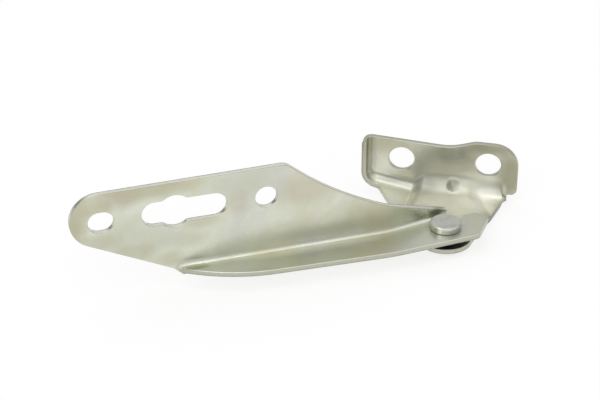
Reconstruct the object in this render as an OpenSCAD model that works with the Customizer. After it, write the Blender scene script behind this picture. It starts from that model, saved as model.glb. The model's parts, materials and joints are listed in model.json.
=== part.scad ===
// Bonnet hinge: a pressed arm that swings on a riveted pivot above the lug of a pressed body bracket.
// Millimetres. The origin is midway between the two body bolt holes, on the bracket's mounting face.
// +X runs along the bolt row, +Y out of the mounting face into the body, +Z along the pivot axis.

/* [Sheet] */
// thickness of both pressings
sheet = 2.5; // [2.2:0.1:2.8]

/* [Body bracket] */
// distance between the two body bolt holes
bolt_spacing = 44; // [41:0.5:47]
// diameter of the body bolt holes
bolt_hole_d = 13; // [11:0.5:14]
// height of the bolt row above the lug's upper face
bolt_rise = 14.5; // [13.5:0.5:16]
// distance of the pivot axis in front of the mounting face
pivot_reach = 50; // [47:0.5:53]
// offset of the pivot axis from the middle of the bolt row
pivot_shift = 5; // [3:0.5:7]
// radius of the round eye at the lug's end
eye_r = 13.2; // [12.5:0.1:14]
// lean of the lug's right edge away from the Y axis, in degrees
lug_right_lean = 15.3; // [13:0.1:17]
// lean of the lug's left edge away from the Y axis, in degrees
lug_left_lean = 28.3; // [27:0.1:29.5]
// inside radius of the fold along the return flange
bracket_fold_r = 3.5; // [3:0.25:4]
// inside radius of the fold on the left flank
flank_fold_r = 5.5; // [5:0.25:6]
// inside radius of the fold behind the pivot
plateau_fold_r = 8; // [7:0.25:9]
// inside radius of the fold on the right flank
right_fold_r = 9.5; // [8.5:0.25:10]
// inside radius of the drawn corner between the return flange and the lug
corner_r = 7; // [6:0.25:8]
// how far the return flange stands in front of the wall
return_depth = 4.5; // [4.25:0.25:6]
// wall beside the left bolt hole's centre, to the return flange's inner face
left_margin = 17.5; // [16.5:0.25:18.5]
// wall beside the right bolt hole's centre
right_margin = 15.2; // [14:0.2:16]
// height of the wall's top edge above the bolt row at its two shoulders
shoulder_height = 11.8; // [11:0.2:13]
// how far the top edge sinks between the shoulders
top_dip = 3.6; // [3:0.2:4.2]
// drop of the lug's left flank below the pivot plateau, at the foot of the step
joggle_drop = 2.2; // [2:0.1:3]
// rise of the flank towards the drawn corner, in degrees
flank_slope = 11; // [9:0.5:13]
// length of the sloped step between flank and plateau
joggle_run = 6.5; // [5.5:0.25:7]
// distance of the step from the pivot axis, at the fold
joggle_from_pivot = 18; // [17.5:0.25:19]
// sideways drift of the step for each millimetre away from the wall
joggle_drift = 0.14; // [0.1:0.01:0.2]
// drop of the lug's right flank below the pivot plateau
ramp_drop = 2.7; // [2.4:0.1:2.9]
// length of the soft ramp between plateau and right flank
ramp_run = 9; // [8:0.25:10]
// sideways spread of the ramp for each millimetre away from the wall
ramp_spread = 0.38; // [0.34:0.01:0.42]
// half the width of the gusset pressed into the fold
gusset_half_width = 4; // [3.5:0.1:4.5]
// how far the gusset is pressed inwards
gusset_push = 2.3; // [2:0.1:2.6]

/* [Bonnet arm] */
// turn of the arm about the pivot at rest, in degrees from the bolt row
rest_turn = 26.3; // [24:0.1:28]
// length of the arm from the pivot axis to the end of its nose
arm_length = 183; // [175:0.5:190]
// radius of the leaf's nose
nose_r = 14; // [13:0.25:15]
// height of the leaf above the flange's upper face, at the nose
leaf_height = 45; // [43:0.5:47]
// rise of the leaf's top edge from the nose to the shoulder
leaf_rise = 1; // [0.5:0.1:1.5]
// height of the row of holes above the flange's upper face
hole_height = 30; // [29:0.25:31]
// distance of the leaf's front face behind the pivot axis
leaf_offset = 5; // [4.5:0.1:5.5]
// inside radius of the arm's fold
arm_fold_r = 2.4; // [2:0.1:2.6]
// turn of the leaf's end part at the kink, in degrees
kink = 11; // [10.5:0.1:12]
// distance of the kink from the pivot axis
kink_distance = 28; // [27:0.25:30]
// radius of the kink, on the leaf's front face
kink_r = 40; // [35:1:45]
// slope of the leaf's lower left edge, in degrees
tail_slope = 26; // [25:0.1:27]
// distance of the shoulder, where the top edge starts to fall, from the nose's end
shoulder_inset = 103.6; // [101:0.2:106]
// length of the hollow fall from the shoulder, to where its two slopes meet
fall_length = 30.4; // [29:0.2:32]
// depth of the hollow fall below the top edge
fall_depth = 23.7; // [23:0.1:24.5]
// radius of the hollow fall
fall_r = 165; // [150:1:180]
// height of the leaf's end above the flange's upper face
leaf_end_height = 2.8; // [2.2:0.1:3.2]
// length of the leaf past the pivot axis
leaf_past_pivot = 5; // [4:0.1:5.5]
// distance of the flange's front edge from the pivot axis, at its widest
flange_reach = 14.3; // [13.5:0.1:15]
// distance from the nose's end to the run-out of the fold
run_out_inset = 51.8; // [50:0.2:54]
// length of the flange's slanting front edge at the run-out
slant_length = 20.7; // [19:0.2:22]
// distance of the round hole from the shoulder, towards the nose
round_hole_inset = 9.8; // [9:0.2:11]
// diameter of the round hole
round_hole_d = 10.8; // [10.4:0.1:11.2]
// distance of the oval hole from the nose's end
oval_hole_inset = 14.7; // [14:0.1:15.5]
// length of the oval hole
oval_hole_length = 12.3; // [11.5:0.1:13]
// height of the oval hole
oval_hole_width = 10.5; // [10:0.1:11]
// distance of the waisted slot's outer end from the nose's end
slot_inset = 33.8; // [32:0.2:35]
// length of the waisted slot
slot_length = 41; // [39:0.2:43]
// height of the slot's two lobes
slot_width = 12.4; // [11.8:0.1:13]
// diameter of the bulge in the slot
slot_bulge_d = 16.8; // [16:0.1:17.5]
// distance of the bulge from the slot's outer end
slot_bulge_at = 16; // [15:0.2:17]

/* [Pivot] */
// diameter of the rivet's head
head_d = 15.2; // [14.5:0.1:15.6]
// height of the rivet's head
head_height = 3.3; // [3:0.1:3.6]
// diameter of the rivet's shank, where the bush turns
shank_d = 10; // [9.5:0.1:10.4]
// diameter of the rivet's spigot through the lug
spigot_d = 8; // [7.5:0.1:8.5]
// diameter of the upset tail
tail_d = 12.5; // [12:0.1:13]
// height of the upset tail
tail_height = 2; // [1.8:0.1:2.4]
// wall of the bush
bush_wall = 1; // [0.8:0.05:1.2]
// diameter of the bush's flange
bush_flange_d = 18; // [17:0.2:19]
// thickness of the bush's flange
bush_flange = 1; // [0.9:0.05:1.2]
// diameter of the thrust washer
thrust_washer_d = 19; // [18:0.2:20]
// thickness of the thrust washer
thrust_washer_t = 1.2; // [1:0.05:1.4]
// diameter of the washer under the lug
tail_washer_d = 16; // [15:0.2:17]
// thickness of the washer under the lug
tail_washer_t = 1; // [0.8:0.05:1.2]
// running clearance between shank and bush, on the radius
running_clearance = 0.05; // [0.02:0.01:0.08]
// end float between the bush and the rivet's head
end_float = 0.05; // [0.02:0.01:0.1]

/* [Hidden] */
$fn = 96;

// heights up the pivot axis
plateau_z = -bolt_rise;
flank_z = plateau_z - joggle_drop;
flange_low_z = plateau_z + thrust_washer_t + bush_flange;
flange_z = flange_low_z + sheet;
bush_stand = 0.1;
head_z = flange_z + bush_stand + end_float;
pivot_y = -pivot_reach;

// radii about the pivot axis
bush_bore_r = shank_d / 2 + running_clearance;
bush_r = bush_bore_r + bush_wall;

// the wall's own measures
right_z = plateau_z - ramp_drop;
wall_front_y = -sheet;
return_x = -bolt_spacing / 2 - left_margin;
wall_right_x = bolt_spacing / 2 + right_margin;
blank_margin = 6;
lap = 0.4;

// vectors and rounded outlines
function unit(v) = v / norm(v);
function cross2(u, v) = u[0] * v[1] - u[1] * v[0];
function ray(angle, r) = r * [cos(angle), sin(angle)];
function rounded_corner(p, q, s, step) =
    q[2] == 0 ? [[q[0], q[1]]] :
    let (u = unit([p[0] - q[0], p[1] - q[1]]),
         v = unit([s[0] - q[0], s[1] - q[1]]),
         half = acos(u * v) / 2,
         centre = [q[0], q[1]] + unit(u + v) * q[2] / sin(half),
         start = [q[0], q[1]] + u * q[2] / tan(half) - centre,
         sweep = (180 - 2 * half) * (cross2(u, v) < 0 ? 1 : -1),
         n = max(2, ceil(abs(sweep) / step)))
    [for (i = [0 : n]) centre + ray(atan2(start[1], start[0]) + sweep * i / n, q[2])];
// an outline of [x, y, corner radius] points with its corners rounded
function rounded(points, step = 5) =
    let (n = len(points))
    [for (i = [0 : n - 1]) each rounded_corner(points[(i + n - 1) % n], points[i], points[(i + 1) % n], step)];

module upright(y0, y1) translate([0, y1, 0]) rotate([90, 0, 0]) linear_extrude(y1 - y0) children();

// a closed sheet from a row of points on its inner side and one on its outer side at each station
module sheet_loft(inner, outer) {
    last = len(inner) - 1;
    n = len(inner[0]);
    function in(i, j) = i * n + j;
    function out(i, j) = (last + 1 + i) * n + j;
    polyhedron(
        [for (row = concat(inner, outer)) each row],
        concat(
            [for (i = [0 : last - 1]) for (j = [0 : n - 2]) each [
                [in(i, j), in(i + 1, j + 1), in(i, j + 1)],
                [in(i, j), in(i + 1, j), in(i + 1, j + 1)],
                [out(i, j), out(i, j + 1), out(i + 1, j + 1)],
                [out(i, j), out(i + 1, j + 1), out(i + 1, j)]]],
            [for (i = [0 : last - 1]) each [
                [in(i, 0), out(i + 1, 0), in(i + 1, 0)],
                [in(i, 0), out(i, 0), out(i + 1, 0)],
                [in(i, n - 1), in(i + 1, n - 1), out(i + 1, n - 1)],
                [in(i, n - 1), out(i + 1, n - 1), out(i, n - 1)]]],
            [for (j = [0 : n - 2]) each [
                [in(0, j), out(0, j + 1), out(0, j)],
                [in(0, j), in(0, j + 1), out(0, j + 1)],
                [in(last, j), out(last, j), out(last, j + 1)],
                [in(last, j), out(last, j + 1), in(last, j + 1)]]]),
        convexity = 6);
}
// a fold's arc of the given bend as [in front of the upright side, above the level side, share of a
// gusset's push]; a smaller bend has the larger radius that the same length of sheet gives
function fold_arc(fold_r, offset, bend, steps) =
    let (r = fold_r * 90 / bend)
    [for (i = [0 : steps]) let (a = bend * i / steps)
        [r - (r + offset) * cos(a), fold_r - (r + offset) * sin(a), pow(sin(2 * a), 4) / sqrt(2)]];

// Body bracket
// The pressed sheet is lofted along the foot of the wall: down the return flange, round the drawn corner,
// along the left flank, up the step, along the plateau with its gusset and down the ramp to the right flank.
// The fold ends in the flat ear beside the lug. A station is [x, z, direction into the wall, drift,
// gusset push, fold radius].
function step_at(s) = s * s * (3 - 2 * s);
function between(a, b, s) = a + (b - a) * s;
joggle_x0 = pivot_shift - joggle_from_pivot - joggle_run / 2;
corner_x = return_x + corner_r;
corner_z = flank_z + (joggle_x0 - corner_x) * tan(flank_slope) + corner_r / cos(flank_slope);
ramp_x0 = pivot_shift + gusset_half_width + 0.4;
ear_fold_r = 1;
ear_x = wall_right_x - 5.8;
ear_run = 3;
stations = concat(
    [[return_x, shoulder_height + blank_margin, 0, 0, 0, bracket_fold_r]],
    [for (i = [0 : 9]) let (s = i / 9, a = (90 - flank_slope) * s)
        [corner_x - corner_r * cos(a), corner_z - corner_r * sin(a), a, 0, 0,
         between(bracket_fold_r, flank_fold_r, s)]],
    [for (i = [0 : 12]) let (s = i / 12)
        [joggle_x0 + joggle_run * s, flank_z + joggle_drop * step_at(s), 90, joggle_drift, 0,
         between(flank_fold_r, plateau_fold_r, s)]],
    [for (i = [0 : 20]) let (s = i / 10 - 1)
        [pivot_shift + gusset_half_width * s, plateau_z, 90, 0, gusset_push * pow(cos(90 * s), 2),
         plateau_fold_r]],
    [for (i = [0 : 10]) let (s = i / 10)
        [ramp_x0 + ramp_run * s, plateau_z - ramp_drop * step_at(s), 90, -ramp_spread, 0,
         between(plateau_fold_r, right_fold_r, s)]],
    [for (i = [0 : 8]) let (s = i / 8)
        [ear_x - ear_run * (1 - s), right_z, 90, -ramp_spread, 0,
         between(right_fold_r, ear_fold_r, step_at(s))]],
    [[wall_right_x + blank_margin, right_z, 90, -ramp_spread, 0, ear_fold_r]]);

// the fold's section, from the wall down to the lug and out to its end
lug_depth = pivot_reach + eye_r + blank_margin - sheet;
drift_depth = 32;
function wall_side(offset, r) = concat(
    [[-offset, r + lap, 0]],
    fold_arc(r, offset, 90, 20),
    [[drift_depth, -offset, 0], [lug_depth, -offset, 0]]);
function wall_point(st, p) =
    let (depth = p[0] + st[4] * p[2], rise = p[1] + st[4] * p[2])
    [st[0] + cos(st[2]) * rise - st[3] * min(max(depth, 0), drift_depth),
     wall_front_y - depth,
     st[1] + sin(st[2]) * rise];
function wall_rows(offset) = [for (st = stations) [for (p = wall_side(offset, st[5])) wall_point(st, p)]];

module wall_plate() {
    foot = [for (st = stations) [st[0], st[1]] + ray(st[2], st[5] + lap / 2)];
    upright(-sheet, 0) polygon(concat(foot, [[wall_right_x + blank_margin, shoulder_height + blank_margin]]));
}

// the wall seen from the front, with room for the lug below it
module wall_outline() {
    left = return_x - sheet;
    lug_right = wall_right_x - 5;
    polygon(rounded([
        [left, shoulder_height + 0.3, 2.8],
        [pivot_shift - 2, shoulder_height - top_dip, 30],
        [bolt_spacing / 2 - 7, shoulder_height + 0.1, 12],
        [wall_right_x, shoulder_height - 0.8, 12.5],
        [wall_right_x, plateau_z - 0.7 * sheet, 3],
        [lug_right, plateau_z - 0.7 * sheet, 0],
        [lug_right, flank_z - corner_r, 0],
        [left, flank_z - corner_r, 0]]));
}

// the bracket seen from above: the wall's strip, the return flange and the lug that narrows to its eye
module lug_outline() {
    right = [pivot_shift, pivot_y] + ray(-lug_right_lean, eye_r);
    left = [pivot_shift, pivot_y] + ray(180 + lug_left_lean, eye_r);
    right_y = wall_front_y - 0.3;
    left_y = wall_front_y - return_depth;
    right_x = right[0] + (right_y - right[1]) * tan(lug_right_lean);
    left_x = left[0] - (left_y - left[1]) * tan(lug_left_lean);
    polygon(rounded([
        [return_x - blank_margin, sheet, 0],
        [return_x - blank_margin, left_y, 0],
        [left_x, left_y, 2.5],
        [left[0], left[1], 0],
        [right[0], right[1], 0],
        [right_x, right_y, 2],
        [wall_right_x + blank_margin, right_y, 0],
        [wall_right_x + blank_margin, sheet, 0]]));
    translate([pivot_shift, pivot_y]) circle(eye_r);
}

module body_bracket() color([0.72, 0.73, 0.68]) difference() {
    intersection() {
        union() {
            sheet_loft(wall_rows(0), wall_rows(sheet));
            wall_plate();
        }
        upright(-pivot_reach - eye_r - blank_margin, sheet) wall_outline();
        translate([0, 0, flank_z - corner_r])
            linear_extrude(corner_r + shoulder_height - flank_z + blank_margin) lug_outline();
    }
    for (side = [-1, 1])
        translate([side * bolt_spacing / 2, sheet, 0])
            rotate([90, 0, 0]) cylinder(h = 3 * sheet, d = bolt_hole_d);
    translate([pivot_shift, pivot_y, plateau_z - 2 * sheet]) cylinder(h = 3 * sheet, d = spigot_d);
}

// Bonnet arm, in its own frame: pivot axis at the origin, the arm towards -X, z = 0 on the flange's upper
// face
blank_past = 45;
blank_depth = 36;
nose_distance = arm_length - nose_r;
shoulder_distance = arm_length - shoulder_inset;
run_out_x = run_out_inset - arm_length;
kink_start = -kink_distance - kink_r * tan(kink / 2);
kink_end = kink_start + kink_r * sin(kink);
kink_shift = kink_r * (1 - cos(kink));

// The section is lofted along the leaf's front face: flat at the nose, folded up over the run-out, round the
// kink and past the pivot. A station is [x, y, direction, bend of the fold].
flat_bend = 1.5;
run_out_before = 4.3;
run_out_length = 6;
arm_stations = concat(
    [[-arm_length - blank_margin, leaf_offset, 0, flat_bend]],
    [for (i = [0 : 10]) let (s = i / 10)
        [run_out_x - run_out_before + run_out_length * s, leaf_offset, 0,
         between(flat_bend, 90, step_at(s))]],
    [for (i = [0 : 8]) let (a = kink * i / 8)
        [kink_start + kink_r * sin(a), leaf_offset + kink_r * (1 - cos(a)), a, 90]],
    [[blank_past, leaf_offset + kink_shift + (blank_past - kink_end) * tan(kink), kink, 90]]);
function arm_side(offset, bend) =
    let (arc = fold_arc(arm_fold_r, offset, bend, 10), foot = arc[10])
    concat(
        [[-offset, leaf_height + 2 * blank_margin, 0]],
        arc,
        [[foot[0] + blank_depth * sin(bend), foot[1] - blank_depth * cos(bend), 0]]);
function arm_rows(offset) = [for (st = arm_stations) [for (p = arm_side(offset, st[3]))
    [st[0] + p[0] * sin(st[2]), st[1] - p[0] * cos(st[2]), p[1]]]];

// the leaf seen from the front; below the fold it leaves room for the flange
module leaf_outline() {
    nose = [-nose_distance, leaf_height - nose_r];
    tail = nose + ray(270 - tail_slope, nose_r);
    low = -sheet - 1;
    translate(nose) circle(nose_r);
    polygon(rounded([
        [nose[0], leaf_height, 0],
        tail[0] < nose[0] ? [tail[0], tail[1], 0] : [nose[0], tail[1], 0],
        [tail[0] + (tail[1] - low) / tan(tail_slope), low, 0],
        [blank_past, low, 0],
        [blank_past, 0.6, 0],
        [leaf_past_pivot, 0.6, 0],
        [leaf_past_pivot, leaf_end_height, 0.8],
        [-shoulder_distance + fall_length, leaf_height - fall_depth, fall_r],
        [-shoulder_distance, leaf_height + leaf_rise, 8]], 2.5));
}

// the arm seen from above: the leaf, the run-out at the left, the front edge, the tab and the relief beside
// the leaf
module flange_outline() {
    fold_y = leaf_offset - arm_fold_r;
    leaf_y = leaf_offset - 0.2;
    back_y = leaf_offset + 4 * blank_margin;
    tab_y = leaf_offset + 4;
    relief_y = leaf_offset - 0.4;
    polygon(rounded([
        [run_out_x, fold_y - 0.8, 1.5],
        [run_out_x + slant_length, -flange_reach + 3.1, 80],
        [-kink_distance - 4, -flange_reach - 0.1, 60],
        [13.5, -flange_reach + 3.3, 4],
        [24, 2.8, 3],
        [20, tab_y, 1.6],
        [13.2, tab_y, 2.4],
        [9.2, relief_y, 1.5],
        [leaf_past_pivot, relief_y, 0],
        [leaf_past_pivot, back_y, 0],
        [-arm_length - blank_margin, back_y, 0],
        [-arm_length - blank_margin, leaf_y, 0],
        [run_out_x - 3.3, leaf_y, 0]], 3));
}

// the slot: a round-ended lobe each side of a bulge, with blended throats
module waisted_slot() {
    lobe_r = slot_width / 2;
    bulge_r = slot_bulge_d / 2;
    blend_r = 2.5;
    throat = sqrt(pow(bulge_r + blend_r, 2) - pow(lobe_r + blend_r, 2));
    for (x = [lobe_r, slot_length - lobe_r]) translate([x, 0]) circle(lobe_r);
    translate([lobe_r, -lobe_r]) square([slot_length - slot_width, slot_width]);
    translate([slot_bulge_at, 0]) {
        circle(bulge_r);
        for (sx = [-1, 1]) for (sy = [-1, 1]) difference() {
            polygon([[0, 0], [sx * throat, sy * lobe_r], [sx * throat, sy * (lobe_r + blend_r)],
                [sx * throat * bulge_r / (bulge_r + blend_r),
                 sy * (lobe_r + blend_r) * bulge_r / (bulge_r + blend_r)]]);
            translate([sx * throat, sy * (lobe_r + blend_r)]) circle(blend_r);
        }
    }
}

module leaf_holes() upright(leaf_offset - sheet, leaf_offset + 2 * sheet) translate([0, hole_height]) {
    oval_run = oval_hole_length - oval_hole_width;
    translate([slot_inset - arm_length, 0]) waisted_slot();
    translate([-shoulder_distance - round_hole_inset, 0]) circle(d = round_hole_d);
    translate([oval_hole_inset - arm_length, 0]) {
        for (side = [-1, 1]) translate([side * oval_run / 2, 0]) circle(d = oval_hole_width);
        square([oval_run, oval_hole_width], center = true);
    }
}

module bonnet_arm() color([0.78, 0.79, 0.74])
    translate([pivot_shift, pivot_y, flange_z]) rotate([0, 0, rest_turn]) difference() {
        intersection() {
            sheet_loft(arm_rows(0), arm_rows(sheet));
            upright(-blank_depth, blank_depth) leaf_outline();
            translate([0, 0, -2 * sheet]) linear_extrude(leaf_height + 4 * blank_margin) flange_outline();
        }
        leaf_holes();
        translate([0, 0, -2 * sheet]) cylinder(h = 3 * sheet, r = bush_r);
    }

// Pivot, turned about its own axis
module turned() translate([pivot_shift, pivot_y, 0]) rotate_extrude() children();
module ring(inner_r, outer_r, low, high)
    turned() translate([inner_r, low]) square([outer_r - inner_r, high - low]);

module pivot_rivet() color([0.66, 0.67, 0.68]) {
    lug_low = plateau_z - sheet;
    tail_z = lug_low - tail_washer_t;
    chamfer = 0.45;
    turned() polygon([
        [0, head_z + head_height],
        [head_d / 2 - chamfer, head_z + head_height],
        [head_d / 2, head_z + head_height - chamfer],
        [head_d / 2, head_z],
        [shank_d / 2, head_z],
        [shank_d / 2, plateau_z],
        [spigot_d / 2, plateau_z],
        [spigot_d / 2, tail_z],
        [tail_d / 2, tail_z],
        [tail_d / 2, tail_z - 0.4 * tail_height],
        [tail_d / 2 - 0.6 * tail_height, tail_z - tail_height],
        [0, tail_z - tail_height]]);
}

module pivot_bush() color([0.55, 0.47, 0.36]) turned() polygon([
    [bush_bore_r, flange_z + bush_stand],
    [bush_r, flange_z + bush_stand],
    [bush_r, flange_low_z],
    [bush_flange_d / 2, flange_low_z],
    [bush_flange_d / 2, flange_low_z - bush_flange],
    [bush_bore_r, flange_low_z - bush_flange]]);

module thrust_washer() color([0.5, 0.5, 0.5])
    ring(shank_d / 2 + 2 * running_clearance, thrust_washer_d / 2, plateau_z, plateau_z + thrust_washer_t);

module tail_washer() color([0.6, 0.6, 0.6])
    ring(spigot_d / 2, tail_washer_d / 2, plateau_z - sheet - tail_washer_t, plateau_z - sheet);

body_bracket();
bonnet_arm();
pivot_rivet();
pivot_bush();
thrust_washer();
tail_washer();
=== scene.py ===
"""Bonnet hinge in plated pressed steel: a long folded arm swings on a riveted pivot over a folded bracket.

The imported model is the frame. The two pressings are copies of their solids with rolled and sheared edges,
and the four turned pieces of the pivot are swept from their outlines.
"""

import json
import math

import bmesh
import bpy
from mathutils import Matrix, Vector
from mathutils.bvhtree import BVHTree

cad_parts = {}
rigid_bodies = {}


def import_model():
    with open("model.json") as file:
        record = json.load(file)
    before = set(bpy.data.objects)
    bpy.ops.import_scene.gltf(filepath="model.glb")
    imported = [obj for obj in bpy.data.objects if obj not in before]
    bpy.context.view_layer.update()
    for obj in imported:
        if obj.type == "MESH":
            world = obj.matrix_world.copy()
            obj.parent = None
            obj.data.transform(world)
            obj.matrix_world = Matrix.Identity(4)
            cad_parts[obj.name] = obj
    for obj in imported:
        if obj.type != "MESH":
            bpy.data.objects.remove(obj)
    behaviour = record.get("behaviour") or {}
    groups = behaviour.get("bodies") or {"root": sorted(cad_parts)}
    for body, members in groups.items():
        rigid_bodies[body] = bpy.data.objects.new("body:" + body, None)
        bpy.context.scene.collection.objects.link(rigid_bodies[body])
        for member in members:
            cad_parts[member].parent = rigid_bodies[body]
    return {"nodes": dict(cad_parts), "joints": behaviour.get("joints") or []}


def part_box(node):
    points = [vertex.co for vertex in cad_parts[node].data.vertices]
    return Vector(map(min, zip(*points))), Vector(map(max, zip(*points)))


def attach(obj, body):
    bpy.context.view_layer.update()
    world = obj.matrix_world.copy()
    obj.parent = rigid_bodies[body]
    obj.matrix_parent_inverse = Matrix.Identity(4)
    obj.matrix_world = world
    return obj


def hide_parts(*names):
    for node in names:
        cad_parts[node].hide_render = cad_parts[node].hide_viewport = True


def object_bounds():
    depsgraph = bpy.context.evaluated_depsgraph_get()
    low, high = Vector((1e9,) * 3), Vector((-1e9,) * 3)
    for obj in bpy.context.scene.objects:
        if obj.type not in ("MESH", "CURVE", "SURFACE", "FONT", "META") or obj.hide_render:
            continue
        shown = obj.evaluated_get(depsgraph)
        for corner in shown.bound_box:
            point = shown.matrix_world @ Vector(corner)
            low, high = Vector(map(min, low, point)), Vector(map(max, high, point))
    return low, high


# The photograph's camera
CAMERA_EYE = (0.055196, -0.820313, 0.458502)
CAMERA_AZIMUTH = math.radians(9)
CAMERA_ELEVATION = math.radians(30.5)
CAMERA_LENS_MM = 110.7
SENSOR_MM = 36

# Pressed sheet, in metres
SHEET = 0.0025
SHEET_SPREAD = 0.0003
DIE_ROLL = 0.00034
BURR_EDGE = 0.00014
TIP_EDGE = 0.00005
ROLL_SEGMENTS = 3
MERGE_DISTANCE = 0.0001
STRAY_DISTANCE = 0.00018
SLIVER = 0.00001
RAY_START = 0.00001
FLAT_ANGLE = math.radians(0.1)
SHARP_ANGLE = math.radians(38)

# Faces whose normals have a product below this lie folded over each other
FOLDED = -0.8
UNFOLD_ROUNDS = 4

# What a face or an edge of a pressing belongs to
CUT_EDGE = 0
FRONT = 1
BACK = 2
TIP = 3
ROLL_WIDTHS = {FRONT: DIE_ROLL, BACK: BURR_EDGE, TIP: TIP_EDGE}

# How far a rolled edge looks like a cut one
ROLLED_CUT = 0.35

# The arm at rest: its turn from the bolt row and the leaf's front face, from the pivot axis
ARM_TURN = math.radians(26.3)
LEAF_FACE = 0.005

# Pivot, in metres
SHANK_R = 0.005
SPIGOT_R = 0.004
BUSH_BORE_R = 0.00505
BUSH_R = 0.00605
BUSH_FLANGE_T = 0.001
THRUST_BORE_R = 0.0051
OIL_FILM = 0.00002
HEAD_UNDERSIDE_Z = -0.00965
HEAD_CHAMFER = 0.0005
TAIL_R = 0.00625
TAIL_RIM = 0.0008
TAIL_TAPER = 0.0012
LUG_TOP_Z = -0.0145
FLANGE_UNDERSIDE_Z = -0.0123
RIVET_ROUNDING = 0.0002
BUSH_ROUNDING = 0.0001
WASHER_ROUNDING = 0.00015
ROUNDING_STEPS = 4
TURNED_SIDES = 128
SWEEP_PATH_R = 1e-6
POLE_MERGE = 5e-6

# Studio
FLOOR_SIZE = 8.0
FLOOR_GREY = 0.3
FLOOR_LIFT = 0.74
SKY_FILL = 0.8
LEFT_DIM = 0.8
RIGHT_DIM = 0.55
FRONT_DIM = 0.45
BACK_DIM = 0.36

# Where the studio's dim sides begin and end, as parts of a direction
LOW_SKY = (0.35, 0.8)
NEAR_FLOOR = (0.15, 0.45)
LEFT_SPAN = (-0.8, -0.3)
RIGHT_SPAN = (0.25, 0.65)
FRONT_SPAN = (-0.75, -0.3)
BACK_SPAN = (0.3, 0.8)

# Softboxes: place across and along from the hinge's middle, height, width, depth and power
SOFTBOXES = (
    ("top softbox", (0.0, -0.05), 0.85, 0.4, 0.25, 0.45),
    ("front softbox", (-0.16, -0.85), 0.75, 0.6, 0.4, 0.6),
)

# Cloudy tints and soft patches of the plating
NOISE_MIDDLE = 0.5
YELLOW_SPAN = (0.4, 0.72)
VIOLET_SPAN = (0.45, 0.75)
PATCH_EDGE = (0.25, 1.1)
CLOUD_SPAN = (0.35, 0.7)
SATIN = (0.3, 0.38)

# Scratches: turn, and the scale along and across each set
SCRATCH_SETS = ((0.3, 18.0, 2600.0), (1.25, 26.0, 3400.0), (2.3, 14.0, 2100.0))
SCRATCH_TILT = 0.7
SCRATCH_SPAN = (0.66, 0.72)
SCRATCH_TONE = (0.75, 0.75, 0.7, 1)
SCRATCH_SHOW = 0.16
SCRATCH_POLISH = 0.05
SCRATCH_RELIEF = 0.008

# Sheared edges
TORN = (0.4, 0.4, 0.36, 1)
SHEARED_EDGE = (0.475, 0.48, 0.385, 1)
CUT_SHOW = 0.9
TORN_SHOW = 0.8
TORN_ROUGHNESS = 0.2
TORN_RELIEF = 0.08
TEAR_WANDER = 0.5
TEAR_WANDER_SCALE = 700.0
TEAR_BLUR = 0.06
TEAR_GRAIN_SCALE = 3500.0

# Relief of the plated sheet
WAVE_SCALE = 55.0
GRAIN_SCALE = 1400.0
GRAIN_RELIEF = 0.012
RELIEF_DEPTH = 0.0002
RELIEF_STRENGTH = 0.6
DRAWN_ROUGHNESS = 0.18

# Turned metal
TURNED_CLOUD_SCALE = 260.0
TURNED_DULL_SPAN = (0.4, 0.68)
TURNED_SCRATCHES = 0.8
TURNED_SCRATCH_SHOW = 0.3
TURNED_SCRATCH_RELIEF = 0.3
RING_SHARE = 0.6
RING_SPAN = (0.3, 0.7)
RING_DEPTH = 0.00001
RING_STRENGTH = 0.5

FLOAT = "NodeSocketFloat"
COLOUR = "NodeSocketColor"
VECTOR = "NodeSocketVector"


def clear_scene():
    for obj in list(bpy.data.objects):
        bpy.data.objects.remove(obj)


clear_scene()
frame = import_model()
cad_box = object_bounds()
pivot = Vector(frame["joints"][0]["pos_m"])


# Node helpers
def fill(tree, socket, value):
    """Links a socket to another or gives it a constant."""
    if isinstance(value, bpy.types.NodeSocket):
        tree.links.new(value, socket)
    else:
        socket.default_value = value


def put(tree, kind, inputs=None, **settings):
    """Adds a node, sets its properties and fills its inputs by name or number."""
    node = tree.nodes.new(kind)
    for key, value in settings.items():
        setattr(node, key, value)
    for key, value in (inputs or {}).items():
        fill(tree, node.inputs[key], value)
    return node


def math_node(tree, operation, first, second=0.0):
    return put(tree, "ShaderNodeMath", {0: first, 1: second}, operation=operation).outputs[0]


def scaled(tree, value, share):
    return math_node(tree, "MULTIPLY", value, share)


def map_range(tree, value, low, high, to_low=0.0, to_high=1.0):
    node = put(tree, "ShaderNodeMapRange", {"Value": value, "From Min": low, "From Max": high,
                                            "To Min": to_low, "To Max": to_high})
    node.interpolation_type = "SMOOTHSTEP"
    return node.outputs["Result"]


def blend_colour(tree, factor, first, second):
    node = put(tree, "ShaderNodeMix", data_type="RGBA")
    for socket, value in ((node.inputs[0], factor), (node.inputs[6], first), (node.inputs[7], second)):
        fill(tree, socket, value)
    return node.outputs[2]


def object_place(tree):
    return put(tree, "ShaderNodeTexCoord").outputs["Object"]


def noise(tree, place, scale, detail, **more):
    """Noise with any other inputs by their names."""
    inputs = {"Vector": place, "Scale": scale, "Detail": detail}
    inputs.update(more)
    return put(tree, "ShaderNodeTexNoise", inputs).outputs[0]


def attribute(tree, name):
    return put(tree, "ShaderNodeAttribute", attribute_name=name).outputs["Fac"]


def new_group(name, inputs, outputs):
    """An empty shader group with named sockets, and its input and output nodes."""
    tree = bpy.data.node_groups.new(name, "ShaderNodeTree")
    for label, kind, default in inputs:
        socket = tree.interface.new_socket(label, in_out="INPUT", socket_type=kind)
        socket.default_value = default
    for label, kind in outputs:
        tree.interface.new_socket(label, in_out="OUTPUT", socket_type=kind)
    return tree, tree.nodes.new("NodeGroupInput").outputs, tree.nodes.new("NodeGroupOutput").inputs


def use_group(tree, group, inputs=None):
    return put(tree, "ShaderNodeGroup", inputs, node_tree=group).outputs


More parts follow.
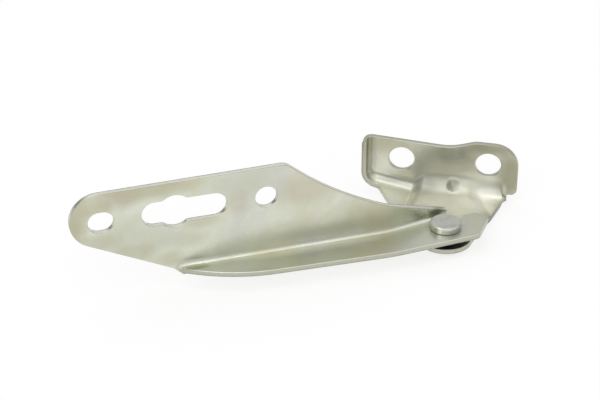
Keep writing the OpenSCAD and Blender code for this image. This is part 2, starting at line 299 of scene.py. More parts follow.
# Shared surface effects
def plating_tint_group():
    """Cloudy yellow and grey-violet tints of a passivated zinc coat."""
    tree, given, made = new_group(
        "plating tint",
        [("Plate", COLOUR, (0.6, 0.61, 0.53, 1)), ("Yellow", COLOUR, (0.58, 0.56, 0.44, 1)),
         ("Violet", COLOUR, (0.55, 0.54, 0.51, 1)), ("Patch scale", FLOAT, 45.0)],
        [("Color", COLOUR), ("Cloud", FLOAT)])
    place = object_place(tree)
    shifted = put(tree, "ShaderNodeMapping", {"Vector": place, "Location": (0.31, 0.17, 0.53)}).outputs[0]
    cloud = noise(tree, place, given["Patch scale"], 4.0, Roughness=0.6, Distortion=0.5)
    stain = noise(tree, shifted, given["Patch scale"], 3.0, Roughness=0.5, Distortion=0.7)
    yellow = map_range(tree, cloud, *YELLOW_SPAN)
    violet = map_range(tree, stain, *VIOLET_SPAN)
    tinted = blend_colour(tree, yellow, given["Plate"], given["Yellow"])
    tree.links.new(blend_colour(tree, violet, tinted, given["Violet"]), made["Color"])
    tree.links.new(cloud, made["Cloud"])
    return tree


def soft_patch_group():
    """One soft-edged patch with a wandering outline, placed by its centre, turn and reach."""
    tree, given, made = new_group(
        "soft patch",
        [("Centre", VECTOR, (0, 0, 0)), ("Turn", VECTOR, (0, 0, 0)), ("Reach", VECTOR, (0.01, 0.01, 0.01)),
         ("Wander", FLOAT, 0.7), ("Grain", FLOAT, 90.0)],
        [("Mask", FLOAT)])
    place = object_place(tree)
    local = put(tree, "ShaderNodeMapping",
                {"Vector": place, "Location": given["Centre"], "Rotation": given["Turn"],
                 "Scale": given["Reach"]}, vector_type="TEXTURE").outputs[0]
    far = put(tree, "ShaderNodeVectorMath", {0: local}, operation="LENGTH").outputs["Value"]
    cloud = noise(tree, place, given["Grain"], 4.0, Roughness=0.6)
    wander = scaled(tree, math_node(tree, "SUBTRACT", cloud, NOISE_MIDDLE), given["Wander"])
    tree.links.new(map_range(tree, math_node(tree, "ADD", far, wander), *PATCH_EDGE, 1.0, 0.0), made["Mask"])
    return tree


def handling_marks_group():
    """Fine straight scratches in three directions, as from parts that rub in a bin."""
    tree, given, made = new_group("handling marks", [("Amount", FLOAT, 1.0)], [("Scratch", FLOAT)])
    place = object_place(tree)
    total = None
    for turn, along, across in SCRATCH_SETS:
        turned_place = put(tree, "ShaderNodeMapping",
                           {"Vector": place, "Rotation": (turn, SCRATCH_TILT * turn, turn),
                            "Scale": (along, across, across)}).outputs[0]
        line = map_range(tree, noise(tree, turned_place, 1.0, 1.0), *SCRATCH_SPAN)
        total = line if total is None else math_node(tree, "MAXIMUM", total, line)
    tree.links.new(scaled(tree, total, given["Amount"]), made["Scratch"])
    return tree


def sheared_edge_group():
    """The cut edge of the sheet: burnished next to the punch side, torn and grainy beyond."""
    tree, given, made = new_group("sheared edge", [("Tear start", FLOAT, 0.75)],
                                  [("Cut", FLOAT), ("Upward", FLOAT), ("Torn", FLOAT), ("Height", FLOAT)])
    place = object_place(tree)
    cut = attribute(tree, "cut")
    cloud = noise(tree, place, TEAR_WANDER_SCALE, 2.0)
    wander = scaled(tree, math_node(tree, "SUBTRACT", cloud, NOISE_MIDDLE), TEAR_WANDER)
    edge = math_node(tree, "ADD", attribute(tree, "through"), wander)
    start = math_node(tree, "SUBTRACT", edge, given["Tear start"])
    torn = scaled(tree, map_range(tree, start, -TEAR_BLUR, TEAR_BLUR), cut)
    grain = noise(tree, place, TEAR_GRAIN_SCALE, 3.0)
    tree.links.new(cut, made["Cut"])
    tree.links.new(attribute(tree, "upward"), made["Upward"])
    tree.links.new(torn, made["Torn"])
    tree.links.new(scaled(tree, torn, grain), made["Height"])
    return tree


def turning_rings_group():
    """Concentric tool marks about the pivot's axis."""
    tree, given, made = new_group(
        "turning rings",
        [("Axis X", FLOAT, 0.0), ("Axis Y", FLOAT, 0.0), ("Pitch", FLOAT, 0.0004)],
        [("Ring", FLOAT)])
    parts = put(tree, "ShaderNodeSeparateXYZ", {0: object_place(tree)}).outputs
    dx = math_node(tree, "SUBTRACT", parts["X"], given["Axis X"])
    dy = math_node(tree, "SUBTRACT", parts["Y"], given["Axis Y"])
    square = math_node(tree, "ADD", scaled(tree, dx, dx), scaled(tree, dy, dy))
    count = math_node(tree, "DIVIDE", math_node(tree, "SQRT", square), given["Pitch"])
    line = put(tree, "ShaderNodeCombineXYZ", {"X": count}).outputs[0]
    tree.links.new(noise(tree, line, 1.0, 2.0), made["Ring"])
    return tree


TINT = plating_tint_group()
SOFT_PATCH = soft_patch_group()
MARKS = handling_marks_group()
SHEARED = sheared_edge_group()
RINGS = turning_rings_group()


# Materials
def new_metal(name):
    material = bpy.data.materials.new(name)
    material.use_nodes = True
    tree = material.node_tree
    shader = tree.nodes["Principled BSDF"]
    shader.inputs["Metallic"].default_value = 1.0
    return material, tree, shader


def lay_stains_and_light(tree, tone, stains_and_light):
    """Blends hand-placed stains and painted light and shade over a tone, each given by centre, turn, reach,
    colour and amount.
    """
    for centre, turn, reach, colour, amount in stains_and_light:
        mask = use_group(tree, SOFT_PATCH, {"Centre": centre, "Turn": (0, 0, turn), "Reach": reach})["Mask"]
        tone = blend_colour(tree, scaled(tree, mask, amount), tone, colour)
    return tone


def plated_sheet(name, plate, yellow, violet, lit_upward_edge, patch_scale, stains_and_light, painted_light_and_shade, drawn):
    """Zinc-plated pressing: satin, with cloudy tints, scratches, rougher drawn spots and bare sheared edges.

    Stains, with some painted light and shade, lie in the plating, so the bare edges don't have them; the last
    list's painted light and shade lies over all, and cut edges that face up are painted lighter.
    """
    material, tree, shader = new_metal(name)
    tint = use_group(tree, TINT,
                     {"Plate": plate, "Yellow": yellow, "Violet": violet, "Patch scale": patch_scale})
    scratch = use_group(tree, MARKS, {"Amount": 1.0})["Scratch"]
    edge = use_group(tree, SHEARED)
    place = object_place(tree)
    scratched = blend_colour(tree, scaled(tree, scratch, SCRATCH_SHOW), tint["Color"], SCRATCH_TONE)
    stained = lay_stains_and_light(tree, scratched, stains_and_light)
    # Cut edges are painted lighter the more they face up: painted light from above
    lit_edge_tone = blend_colour(tree, edge["Upward"], SHEARED_EDGE, lit_upward_edge)
    cut_tone = blend_colour(tree, scaled(tree, edge["Cut"], CUT_SHOW), stained, lit_edge_tone)
    tone = blend_colour(tree, scaled(tree, edge["Torn"], TORN_SHOW), cut_tone, TORN)
    tree.links.new(lay_stains_and_light(tree, tone, painted_light_and_shade), shader.inputs["Base Color"])
    cloudy = map_range(tree, tint["Cloud"], *CLOUD_SPAN, *SATIN)
    worn = math_node(tree, "SUBTRACT", cloudy, scaled(tree, scratch, SCRATCH_POLISH))
    rough = math_node(tree, "ADD", worn, scaled(tree, edge["Torn"], TORN_ROUGHNESS))
    for centre, reach in drawn:
        mask = use_group(tree, SOFT_PATCH, {"Centre": centre, "Reach": reach})["Mask"]
        rough = math_node(tree, "ADD", rough, scaled(tree, mask, DRAWN_ROUGHNESS))
    tree.links.new(rough, shader.inputs["Roughness"])
    wave = noise(tree, place, WAVE_SCALE, 2.0)
    grain = noise(tree, place, GRAIN_SCALE, 3.0)
    relief = math_node(tree, "ADD", wave, scaled(tree, grain, GRAIN_RELIEF))
    relief = math_node(tree, "SUBTRACT", relief, scaled(tree, scratch, SCRATCH_RELIEF))
    relief = math_node(tree, "ADD", relief, scaled(tree, edge["Height"], TORN_RELIEF))
    bump = put(tree, "ShaderNodeBump",
               {"Height": relief, "Distance": RELIEF_DEPTH, "Strength": RELIEF_STRENGTH})
    tree.links.new(bump.outputs[0], shader.inputs["Normal"])
    return material


def turned_metal(name, bright, dull, pitch, roughness, stains_and_light=()):
    """Turned piece: rings about the axis, cloudy dulling and a few scratches."""
    material, tree, shader = new_metal(name)
    ring = use_group(tree, RINGS, {"Axis X": pivot.x, "Axis Y": pivot.y, "Pitch": pitch})["Ring"]
    scratch = use_group(tree, MARKS, {"Amount": TURNED_SCRATCHES})["Scratch"]
    cloud = noise(tree, object_place(tree), TURNED_CLOUD_SCALE, 4.0)
    tone = blend_colour(tree, map_range(tree, cloud, *TURNED_DULL_SPAN), bright, dull)
    tone = blend_colour(tree, scaled(tree, scratch, TURNED_SCRATCH_SHOW), tone, bright)
    tree.links.new(lay_stains_and_light(tree, tone, stains_and_light), shader.inputs["Base Color"])
    mixed = math_node(tree, "ADD", scaled(tree, ring, RING_SHARE), scaled(tree, cloud, 1.0 - RING_SHARE))
    tree.links.new(map_range(tree, mixed, *RING_SPAN, *roughness), shader.inputs["Roughness"])
    relief = math_node(tree, "SUBTRACT", ring, scaled(tree, scratch, TURNED_SCRATCH_RELIEF))
    bump = put(tree, "ShaderNodeBump", {"Height": relief, "Distance": RING_DEPTH, "Strength": RING_STRENGTH})
    tree.links.new(bump.outputs[0], shader.inputs["Normal"])
    return material


# Pressings
def total_area(faces):
    return sum(face.calc_area() for face in faces)


def patches(faces, angle):
    """Groups of faces that meet at less than an angle."""
    left = set(faces)
    groups = []
    for seed in faces:
        if seed not in left:
            continue
        left.discard(seed)
        group = []
        waiting = [seed]
        while waiting:
            face = waiting.pop()
            group.append(face)
            for edge in face.edges:
                if len(edge.link_faces) == 2 and edge.calc_face_angle(0.0) < angle:
                    fresh = [other for other in edge.link_faces if other in left]
                    left.difference_update(fresh)
                    waiting.extend(fresh)
        groups.append(group)
    return groups


def find_sheet(bm, solid, sheet):
    """Marks the flats with the sheet's thickness behind most of their area; the others are cut edges."""
    for flat in patches(bm.faces, FLAT_ANGLE):
        backed = []
        for face in flat:
            start = face.calc_center_median() - face.normal * RAY_START
            _, _, _, depth = solid.ray_cast(start, -face.normal, 2 * SHEET)
            if depth is not None and abs(depth - SHEET) < SHEET_SPREAD:
                backed.append(face)
        is_sheet = total_area(backed) > total_area(flat) / 2
        for face in flat:
            face[sheet] = is_sheet


def front_and_back(bm, sheet):
    """The sheet's two sides: the largest smooth patches, with the front's facing the photo."""
    sides = patches([face for face in bm.faces if face[sheet]], SHARP_ANGLE)
    sides.sort(key=lambda faces: -total_area(faces))
    return sorted(sides[:2], key=lambda faces: sum(face.normal.y * face.calc_area() for face in faces))


def mark_sides(bm, sheet, cut):
    """Fills the layers that the material reads, and gives the side that each face of the sheet is on."""
    upward = bm.faces.layers.float.new("upward")
    through = bm.verts.layers.float.new("through")
    front, back = front_and_back(bm, sheet)
    for face in bm.faces:
        face[cut] = 1.0
        face[upward] = max(0.0, face.normal.z)
    for vertex in bm.verts:
        vertex[through] = 0.5
    sides = {}
    for side, faces, depth in ((FRONT, front, 0.0), (BACK, back, 1.0)):
        for face in faces:
            face[cut] = 0.0
            sides[face] = side
            for vertex in face.verts:
                vertex[through] = depth
    return sides


def roll_edges(bm, sides, cut, tips):
    """Rounds the edges between the sheet's sides and its cut edges, each kind by its own width."""
    rolls = {kind: [] for kind in ROLL_WIDTHS}
    for edge in bm.edges:
        if len(edge.link_faces) == 2 and edge.calc_face_angle(0.0) >= SHARP_ANGLE:
            first, second = sorted(sides.get(face, CUT_EDGE) for face in edge.link_faces)
            middle = (edge.verts[0].co + edge.verts[1].co) / 2
            near_tip = any((middle - place).length < reach for place, reach in tips)
            if first == CUT_EDGE and second != CUT_EDGE:
                rolls[TIP if near_tip else second].append(edge)
    for kind, width in ROLL_WIDTHS.items():
        edges = [edge for edge in rolls[kind] if edge.is_valid]
        made = bmesh.ops.bevel(bm, geom=edges, offset=width, offset_type="OFFSET", segments=ROLL_SEGMENTS,
                               profile=0.5, affect="EDGES", clamp_overlap=False)
        for face in made["faces"]:
            face[cut] = ROLLED_CUT


def unfold_slivers(bm):
    """Turns the long edge between a thin triangle that lies folded over its neighbour and that neighbour."""
    for _ in range(UNFOLD_ROUNDS):
        bm.normal_update()
        folded = {}
        for face in bm.faces:
            longest = max(face.edges, key=lambda edge: edge.calc_length())
            for other in longest.link_faces:
                if other.normal.dot(face.normal) < FOLDED and other.calc_area() > face.calc_area():
                    folded[longest] = True
        bmesh.ops.rotate_edges(bm, edges=list(folded), use_ccw=False)
    bm.normal_update()


def settle_normals(mesh):
    """Area-weighted normals over faces that turn softly into each other: flat flats and crisp corners."""
    softest = math.cos(SHARP_ANGLE)
    around = [[] for _ in mesh.vertices]
    for face in mesh.polygons:
        face.use_smooth = True
        for vertex in face.vertices:
            around[vertex].append((face.normal.copy(), face.area))
    normals = []
    for face in mesh.polygons:
        for vertex in face.vertices:
            total = Vector()
            for normal, area in around[vertex]:
                if normal.dot(face.normal) > softest:
                    total += normal * area
            normals.append(total.normalized() if total.length > 0 else face.normal.copy())
    mesh.normals_split_custom_set(normals)


def add_piece(name, mesh, node, body):
    piece = bpy.data.objects.new(name, mesh)
    bpy.context.scene.collection.objects.link(piece)
    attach(piece, body)
    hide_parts(node)


def pressed_sheet(name, node, body, material, tips):
    """A copy of a pressing with a die roll on its front edges and a small burr edge on its back ones.

    Round a tip, given by its place and reach, the edges are only broken.
    """
    bm = bmesh.new()
    bm.from_mesh(frame["nodes"][node].data)
    solid = BVHTree.FromBMesh(bm)
    sheet = bm.faces.layers.int.new("sheet")
    bmesh.ops.remove_doubles(bm, verts=bm.verts, dist=MERGE_DISTANCE)
    find_sheet(bm, solid, sheet)
    bmesh.ops.dissolve_limit(bm, angle_limit=FLAT_ANGLE, verts=bm.verts, edges=bm.edges)
    cut = bm.faces.layers.float.new("cut")
    sides = mark_sides(bm, sheet, cut)
    roll_edges(bm, sides, cut, tips)
    for vertex in bm.verts:
        nearest, _, _, distance = solid.find_nearest(vertex.co)
        if distance > STRAY_DISTANCE:
            vertex.co = nearest
    bmesh.ops.dissolve_degenerate(bm, dist=SLIVER, edges=bm.edges)
    bmesh.ops.remove_doubles(bm, verts=bm.verts, dist=SLIVER)
    bmesh.ops.triangulate(bm, faces=bm.faces)
    unfold_slivers(bm)
    mesh = bpy.data.meshes.new(name)
    bm.to_mesh(mesh)
    bm.free()
    if "custom_normal" in mesh.attributes:
        mesh.attributes.remove(mesh.attributes["custom_normal"])
    mesh.materials.append(material)
    for face in mesh.polygons:
        face.material_index = 0
    settle_normals(mesh)
    add_piece(name, mesh, node, body)


# Turned pieces
def turned_tree():
    """Sweeps a half outline, drawn as radius and height, round the pivot's axis with its corners rounded."""
    tree = bpy.data.node_groups.new("turned piece", "GeometryNodeTree")
    for label, kind in (("Outline", "NodeSocketGeometry"), ("Edge rounding", FLOAT),
                        ("Sides", "NodeSocketInt"), ("Axis", VECTOR), ("Finish", "NodeSocketMaterial")):
        tree.interface.new_socket(label, in_out="INPUT", socket_type=kind)
    tree.interface.new_socket("Turned", in_out="OUTPUT", socket_type="NodeSocketGeometry")
    given = tree.nodes.new("NodeGroupInput").outputs
    made = tree.nodes.new("NodeGroupOutput").inputs
    outline = put(tree, "GeometryNodeMeshToCurve", {"Mesh": given["Outline"]}).outputs[0]
    fillet = put(tree, "GeometryNodeFilletCurve",
                 {"Curve": outline, "Radius": given["Edge rounding"], "Limit Radius": True,
                  "Count": ROUNDING_STEPS}, mode="POLY").outputs[0]
    path = put(tree, "GeometryNodeCurvePrimitiveCircle",
               {"Resolution": given["Sides"], "Radius": SWEEP_PATH_R}).outputs[0]
    swept = put(tree, "GeometryNodeCurveToMesh", {"Curve": path, "Profile Curve": fillet}).outputs[0]
    placed = put(tree, "GeometryNodeTransform", {"Geometry": swept, "Translation": given["Axis"]}).outputs[0]
    closed = put(tree, "GeometryNodeMergeByDistance", {"Geometry": placed, "Distance": POLE_MERGE}).outputs[0]
    real = put(tree, "GeometryNodeRealizeInstances", {"Geometry": closed}).outputs[0]
    finished = put(tree, "GeometryNodeSetMaterial", {"Geometry": real, "Material": given["Finish"]})
    tree.links.new(finished.outputs[0], made["Turned"])
    return tree


TURNED = turned_tree()


def turned_piece(name, node, body, material, outline, rounding, closed):
    """Sweeps (radius, height) points, turning heights over; an open outline starts and ends on the axis."""
    mesh = bpy.data.meshes.new(name + "_outline")
    count = len(outline)
    edges = [(i, (i + 1) % count) for i in range(count if closed else count - 1)]
    mesh.from_pydata([(r, -z, 0.0) for r, z in outline], edges, [])
    draft = bpy.data.objects.new(name + "_draft", mesh)
    bpy.context.scene.collection.objects.link(draft)
    modifier = draft.modifiers.new("turned", "NODES")
    modifier.node_group = TURNED
    values = {"Edge rounding": rounding, "Sides": TURNED_SIDES, "Axis": (pivot.x, pivot.y, 0.0),
              "Finish": material}
    for item in TURNED.interface.items_tree:
        if item.in_out == "INPUT" and item.name in values:
            modifier[item.identifier] = values[item.name]
    evaluated = draft.evaluated_get(bpy.context.evaluated_depsgraph_get())
    swept = bpy.data.meshes.new_from_object(evaluated)
    bpy.data.objects.remove(draft)
    swept.name = name
    bm = bmesh.new()
    bm.from_mesh(swept)
    bmesh.ops.recalc_face_normals(bm, faces=bm.faces)
    bm.to_mesh(swept)
    bm.free()
    settle_normals(swept)
    add_piece(name, swept, node, body)


def arm_point(along, out, height):
    """A point from the arm's own measures: along and out from the pivot axis, and above the flange."""
    return pivot + Vector((along * math.cos(ARM_TURN) - out * math.sin(ARM_TURN),
                           along * math.sin(ARM_TURN) + out * math.cos(ARM_TURN), height))


def leaf_patch(along, height, length, rise, colour, amount):
    """A colour patch through the arm's leaf, for stains and for painted light and shade, placed and sized in
    the arm's own measures.
    """
    return arm_point(along, LEAF_FACE, height), ARM_TURN, (length, THROUGH_LEAF, rise), colour, amount


# Stains, painted light and painted shade: centre, turn, reach, colour and amount
THROUGH_LEAF = 0.02
OLIVE = (0.49, 0.47, 0.32, 1)
TAN = (0.52, 0.48, 0.37, 1)
GREEN_GREY = (0.57, 0.595, 0.49, 1)
# The next ones are olive with painted shade, painted shade over folds, a painted dark reflection, painted
# shade on the rivet's rim, painted shade in gaps, plain painted shade, a painted highlight and a painted
# glint
OLIVE_AND_PAINTED_SHADE = (0.34, 0.34, 0.23, 1)
PAINTED_FOLD_SHADE = (0.34, 0.34, 0.295, 1)
PAINTED_DARK_REFLECTION = (0.48, 0.48, 0.41, 1)
PAINTED_RIM_SHADE = (0.42, 0.42, 0.37, 1)
PAINTED_GAP_SHADE = (0.02, 0.02, 0.018, 1)
PAINTED_SHADE = (0.1, 0.1, 0.085, 1)
PAINTED_HIGHLIGHT = (0.92, 0.92, 0.83, 1)
PAINTED_GLINT = (1, 1, 0.95, 1)
arm_stains_and_light = [
    # The leaf's top edge and nose
    leaf_patch(-0.147, 0.044, 0.032, 0.008, OLIVE, 0.75),
    leaf_patch(-0.158, 0.041, 0.012, 0.007, TAN, 0.7),
    leaf_patch(-0.179, 0.037, 0.009, 0.017, OLIVE, 0.6),
    # Below and beside the oval hole and the slot
    leaf_patch(-0.15, 0.0175, 0.034, 0.015, GREEN_GREY, 0.55),
    leaf_patch(-0.182, 0.026, 0.008, 0.011, OLIVE, 0.7),
    leaf_patch(-0.168, 0.0375, 0.008, 0.006, OLIVE, 0.6),
    leaf_patch(-0.1204, 0.0222, 0.011, 0.005, OLIVE, 0.45),
    leaf_patch(-0.136, 0.0045, 0.009, 0.006, OLIVE, 0.5),
    leaf_patch(-0.1026, 0.0395, 0.024, 0.01, GREEN_GREY, 0.6),
    # The sloped lower edge, and painted shade in the pocket beside the fold's end
    leaf_patch(-0.171, 0.0195, 0.013, 0.006, OLIVE, 0.45),
    leaf_patch(-0.155, 0.0108, 0.013, 0.006, OLIVE, 0.4),
    (arm_point(-0.1255, 0.0012, 0.0), ARM_TURN, (0.009, 0.0028, 0.003), OLIVE_AND_PAINTED_SHADE, 0.75),
    # The leaf from the round hole to the pivot, with a painted dark reflection in a band above the fold
    leaf_patch(-0.103, 0.029, 0.009, 0.008, TAN, 0.45),
    leaf_patch(-0.07, 0.031, 0.022, 0.012, TAN, 0.45),
    leaf_patch(-0.13, 0.014, 0.016, 0.006, TAN, 0.35),
    leaf_patch(-0.03, 0.013, 0.03, 0.014, OLIVE, 0.55),
    leaf_patch(-0.056, 0.006, 0.034, 0.006, PAINTED_DARK_REFLECTION, 0.5),
    # Painted light on the flange and a painted highlight along the fold
    (arm_point(-0.112, -0.006, 0.0), ARM_TURN, (0.018, 0.008, 0.003), PAINTED_HIGHLIGHT, 0.4),
    (arm_point(-0.064, 0.0008, 0.0004), ARM_TURN, (0.04, 0.004, 0.003), PAINTED_HIGHLIGHT, 0.75),
]
arm_painted_shade = [
    # Painted shade at the leaf's tip, round the rivet's head, and in the gap under the flange
    leaf_patch(-0.001, 0.0028, 0.005, 0.0035, PAINTED_SHADE, 0.7),
    ((pivot.x, pivot.y, pivot.z), 0.0, (0.0098, 0.0098, 0.001), PAINTED_SHADE, 0.8),
    ((pivot.x, pivot.y, FLANGE_UNDERSIDE_Z - 0.0004), 0.0, (0.014, 0.014, 0.0006), PAINTED_GAP_SHADE, 1.0),
]
bracket_stains_and_light = [
    # Wall: olive with painted shade at the right ear and its top corner, olive at the left, a painted dark
    # reflection across the middle and painted light below it to the right
    ((0.034, 0.0, -0.004), 0.0, (0.01, 0.02, 0.022), OLIVE_AND_PAINTED_SHADE, 0.9),
    ((0.024, 0.0, 0.0105), 0.0, (0.018, 0.02, 0.006), OLIVE_AND_PAINTED_SHADE, 0.7),
    ((-0.03, 0.0, 0.008), 0.0, (0.018, 0.02, 0.01), OLIVE, 0.65),
    ((-0.002, -0.0025, -0.0015), 0.0, (0.022, 0.003, 0.012), PAINTED_DARK_REFLECTION, 0.65),
    ((0.012, -0.0025, -0.0005), 0.0, (0.007, 0.003, 0.009), PAINTED_DARK_REFLECTION, 0.55),
    ((0.017, -0.0025, -0.008), 0.0, (0.012, 0.003, 0.005), PAINTED_HIGHLIGHT, 0.5),
    # Painted shade over the folds' highlights
    ((-0.0362, -0.0045, 0.002), 0.0, (0.0024, 0.004, 0.016), PAINTED_FOLD_SHADE, 0.6),
    ((-0.024, -0.003, -0.012), 0.0, (0.014, 0.003, 0.003), PAINTED_FOLD_SHADE, 0.5),
    ((-0.009, -0.006, -0.012), 0.0, (0.01, 0.006, 0.0055), PAINTED_FOLD_SHADE, 0.6),
    ((0.026, -0.006, -0.012), 0.0, (0.014, 0.004, 0.004), PAINTED_FOLD_SHADE, 0.45),
    # Painted light on the left flank, the plateau and the right flank
    ((-0.028, -0.016, LUG_TOP_Z - 0.003), 0.0, (0.014, 0.018, 0.005), PAINTED_HIGHLIGHT, 0.9),
    ((0.005, -0.018, LUG_TOP_Z), 0.0, (0.02, 0.016, 0.004), PAINTED_HIGHLIGHT, 0.85),
    ((0.02, -0.016, LUG_TOP_Z - 0.0015), -0.4, (0.012, 0.016, 0.006), PAINTED_HIGHLIGHT, 1.0),
]
bracket_painted_light_and_shade = [
    # Painted highlights on the gusset and the fold's end, painted shade along the lug's right edge and in the
    # gap over the lug
    ((0.0072, -0.005, -0.0128), 0.0, (0.003, 0.004, 0.0032), PAINTED_HIGHLIGHT, 1.0),
    ((0.0308, -0.0042, -0.0145), 0.0, (0.0018, 0.005, 0.005), PAINTED_HIGHLIGHT, 0.45),
    ((0.0267, -0.022, -0.0184), -0.265, (0.0009, 0.028, 0.004), PAINTED_SHADE, 0.7),
    ((0.004, -0.0585, LUG_TOP_Z + 0.0002), 0.0, (0.0135, 0.0075, 0.0009), PAINTED_GAP_SHADE, 1.0),
]
rivet_painted_shade_and_glint = [
    # Painted shade round the head's rim and a painted glint on it
    ((pivot.x, pivot.y, -0.0084), 0.0, (0.013, 0.013, 0.0019), PAINTED_RIM_SHADE, 0.8),
    ((pivot.x - 0.0025, pivot.y - 0.007, -0.0082), 0.0, (0.0017, 0.0017, 0.0035), PAINTED_GLINT, 1.0),
]

# Rougher drawn spots: centre and reach
bracket_drawn = [
    ((0.008, -0.008, -0.0125), (0.034, 0.014, 0.01)),
    ((0.005, -0.005, -0.0125), (0.006, 0.006, 0.006)),
]
arm_drawn = [(arm_point(-0.132, 0.003, 0.0), (0.006, 0.006, 0.006))]

# Tips where the edges are only broken: place and reach
arm_tips = [(arm_point(-0.1325, 0.003, -0.0005), 0.0048)]
bracket_tips = [(Vector((0.0305, -0.005, -0.0165)), 0.006)]

zinc_arm = plated_sheet(
    "zinc plated arm", plate=(0.715, 0.74, 0.625, 1), yellow=(0.67, 0.655, 0.5, 1),
    violet=(0.655, 0.66, 0.6, 1), lit_upward_edge=(0.95, 0.95, 0.86, 1), patch_scale=42.0,
    stains_and_light=arm_stains_and_light, painted_light_and_shade=arm_painted_shade, drawn=arm_drawn)
zinc_bracket = plated_sheet(
    "zinc plated bracket", plate=(0.715, 0.725, 0.615, 1), yellow=(0.68, 0.66, 0.51, 1),
    violet=(0.65, 0.645, 0.585, 1), lit_upward_edge=(0.55, 0.55, 0.48, 1), patch_scale=60.0,
    stains_and_light=bracket_stains_and_light, painted_light_and_shade=bracket_painted_light_and_shade, drawn=bracket_drawn)
rivet_steel = turned_metal(
    "rivet steel", bright=(0.68, 0.69, 0.63, 1), dull=(0.58, 0.59, 0.54, 1), pitch=0.0004,
    roughness=(0.2, 0.3), stains_and_light=rivet_painted_shade_and_glint)
# The bush and the washers get dark tones as painted shade, so the gap between the arm's flange and the lug
# reads black
bush_bronze = turned_metal(
    "sintered bronze", bright=(0.2, 0.15, 0.08, 1), dull=(0.1, 0.08, 0.05, 1), pitch=0.0003,
    roughness=(0.45, 0.6))
washer_steel = turned_metal(
    "washer steel", bright=(0.14, 0.14, 0.135, 1), dull=(0.07, 0.07, 0.068, 1), pitch=0.0005,
    roughness=(0.35, 0.5))

pressed_sheet("arm_pressing", "bonnet_arm", "arm", zinc_arm, arm_tips)
pressed_sheet("bracket_pressing", "body_bracket", "bracket", zinc_bracket, bracket_tips)

rivet_low, rivet_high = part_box("pivot_rivet")
head_r = (rivet_high.x - rivet_low.x) / 2
tail_low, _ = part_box("tail_washer")
turned_piece(
    "rivet", "pivot_rivet", "bracket", rivet_steel,
    [(0, rivet_high.z), (head_r - HEAD_CHAMFER, rivet_high.z), (head_r, rivet_high.z - HEAD_CHAMFER),
     (head_r, HEAD_UNDERSIDE_Z), (SHANK_R, HEAD_UNDERSIDE_Z), (SHANK_R, LUG_TOP_Z), (SPIGOT_R, LUG_TOP_Z),
     (SPIGOT_R, tail_low.z), (TAIL_R, tail_low.z), (TAIL_R, tail_low.z - TAIL_RIM),
     (TAIL_R - TAIL_TAPER, rivet_low.z), (0, rivet_low.z)],
    RIVET_ROUNDING, False)

bush_low, bush_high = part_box("pivot_bush")
flange_top = bush_low.z + BUSH_FLANGE_T
bush_flange_r = (bush_high.x - bush_low.x) / 2
turned_piece(
    "bush", "pivot_bush", "arm", bush_bronze,
    [(BUSH_BORE_R, bush_high.z), (BUSH_R, bush_high.z), (BUSH_R, flange_top), (bush_flange_r, flange_top),
     (bush_flange_r, bush_low.z), (BUSH_BORE_R, bush_low.z)],
    BUSH_ROUNDING, True)

# The bush slides on the thrust ring, so a film of oil is left between them
for name, node, bore_r, film in (("thrust_ring", "thrust_washer", THRUST_BORE_R, OIL_FILM),
                                 ("tail_ring", "tail_washer", SPIGOT_R, 0.0)):
    low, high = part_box(node)
    outer_r = (high.x - low.x) / 2
    turned_piece(
        name, node, "bracket", washer_steel,
        [(bore_r, high.z - film), (outer_r, high.z - film), (outer_r, low.z), (bore_r, low.z)],
        WASHER_ROUNDING, True)


# Studio
def pale_floor(height):
    """A plain floor that is lifted to white where it is seen, and keeps the hinge's shadow."""
    mesh = bpy.data.meshes.new("floor")
    half = FLOOR_SIZE / 2
    corners = [(-half, -half, height), (half, -half, height), (half, half, height), (-half, half, height)]
    mesh.from_pydata(corners, [], [(0, 1, 2, 3)])
    floor = bpy.data.objects.new("floor", mesh)
    bpy.context.scene.collection.objects.link(floor)
    material = bpy.data.materials.new("pale floor")
    material.use_nodes = True
    tree = material.node_tree
    shader = tree.nodes["Principled BSDF"]
    shader.inputs["Base Color"].default_value = (FLOOR_GREY, FLOOR_GREY, FLOOR_GREY, 1)
    shader.inputs["Roughness"].default_value = 1.0
    shader.inputs["Specular IOR Level"].default_value = 0.0
    shader.inputs["Emission Color"].default_value = (1, 1, 1, 1)
    path = put(tree, "ShaderNodeLightPath").outputs
    seen = math_node(tree, "MAXIMUM", path["Is Camera Ray"], path["Is Glossy Ray"])
    seen = math_node(tree, "MAXIMUM", seen, path["Is Transmission Ray"])
    tree.links.new(scaled(tree, seen, FLOOR_LIFT), shader.inputs["Emission Strength"])
    mesh.materials.append(material)


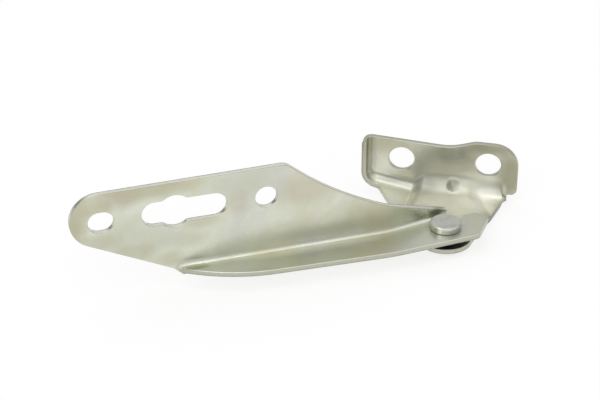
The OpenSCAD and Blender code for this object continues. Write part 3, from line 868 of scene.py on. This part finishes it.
def white_surround():
    """White behind the object; the metal also shows the studio's dimmer sides, front and back."""
    world = bpy.data.worlds.new("white surround")
    bpy.context.scene.world = world
    world.use_nodes = True
    tree = world.node_tree
    background = tree.nodes["Background"]
    background.inputs["Color"].default_value = (1, 1, 1, 1)
    toward = put(tree, "ShaderNodeTexCoord").outputs["Generated"]
    parts = put(tree, "ShaderNodeSeparateXYZ", {0: toward}).outputs
    low = map_range(tree, parts["Z"], *LOW_SKY, 1.0, 0.0)
    near_floor = map_range(tree, parts["Z"], *NEAR_FLOOR, 1.0, 0.0)
    left = scaled(tree, map_range(tree, parts["X"], *LEFT_SPAN, LEFT_DIM, 0.0), low)
    right = scaled(tree, map_range(tree, parts["X"], *RIGHT_SPAN, 0.0, RIGHT_DIM), low)
    front = scaled(tree, map_range(tree, parts["Y"], *FRONT_SPAN, FRONT_DIM, 0.0), near_floor)
    back = map_range(tree, parts["Y"], *BACK_SPAN, 0.0, BACK_DIM)
    sides = math_node(tree, "MAXIMUM", left, right)
    dim = math_node(tree, "MAXIMUM", math_node(tree, "MAXIMUM", front, back), sides)
    path = put(tree, "ShaderNodeLightPath").outputs
    lift = math_node(tree, "SUBTRACT", 1.0 - SKY_FILL, dim)
    level = math_node(tree, "ADD", scaled(tree, lift, path["Is Glossy Ray"]), SKY_FILL)
    seen = math_node(tree, "MAXIMUM", path["Is Camera Ray"], path["Is Transmission Ray"])
    rest = scaled(tree, math_node(tree, "SUBTRACT", 1.0, level), seen)
    tree.links.new(math_node(tree, "ADD", level, rest), background.inputs["Strength"])


def softbox(name, place, aim, width, depth, power):
    lamp = bpy.data.lights.new(name, "AREA")
    lamp.shape = "RECTANGLE"
    lamp.size = width
    lamp.size_y = depth
    lamp.energy = power
    obj = bpy.data.objects.new(name, lamp)
    obj.location = place
    obj.rotation_euler = (Vector(aim) - Vector(place)).to_track_quat("-Z", "Y").to_euler()
    bpy.context.scene.collection.objects.link(obj)


def photo_camera():
    lens = bpy.data.cameras.new("photo camera")
    lens.lens = CAMERA_LENS_MM
    lens.sensor_width = SENSOR_MM
    lens.sensor_fit = "HORIZONTAL"
    camera = bpy.data.objects.new("photo camera", lens)
    camera.location = CAMERA_EYE
    camera.rotation_euler = (math.pi / 2 - CAMERA_ELEVATION, 0, CAMERA_AZIMUTH)
    bpy.context.scene.collection.objects.link(camera)
    bpy.context.scene.camera = camera


middle = (cad_box[0] + cad_box[1]) / 2
pale_floor(cad_box[0].z)
white_surround()
for name, (across, along), height, width, depth, power in SOFTBOXES:
    softbox(name, (middle.x + across, middle.y + along, height), middle, width, depth, power)
photo_camera()
bpy.context.scene.view_settings.view_transform = "Standard"
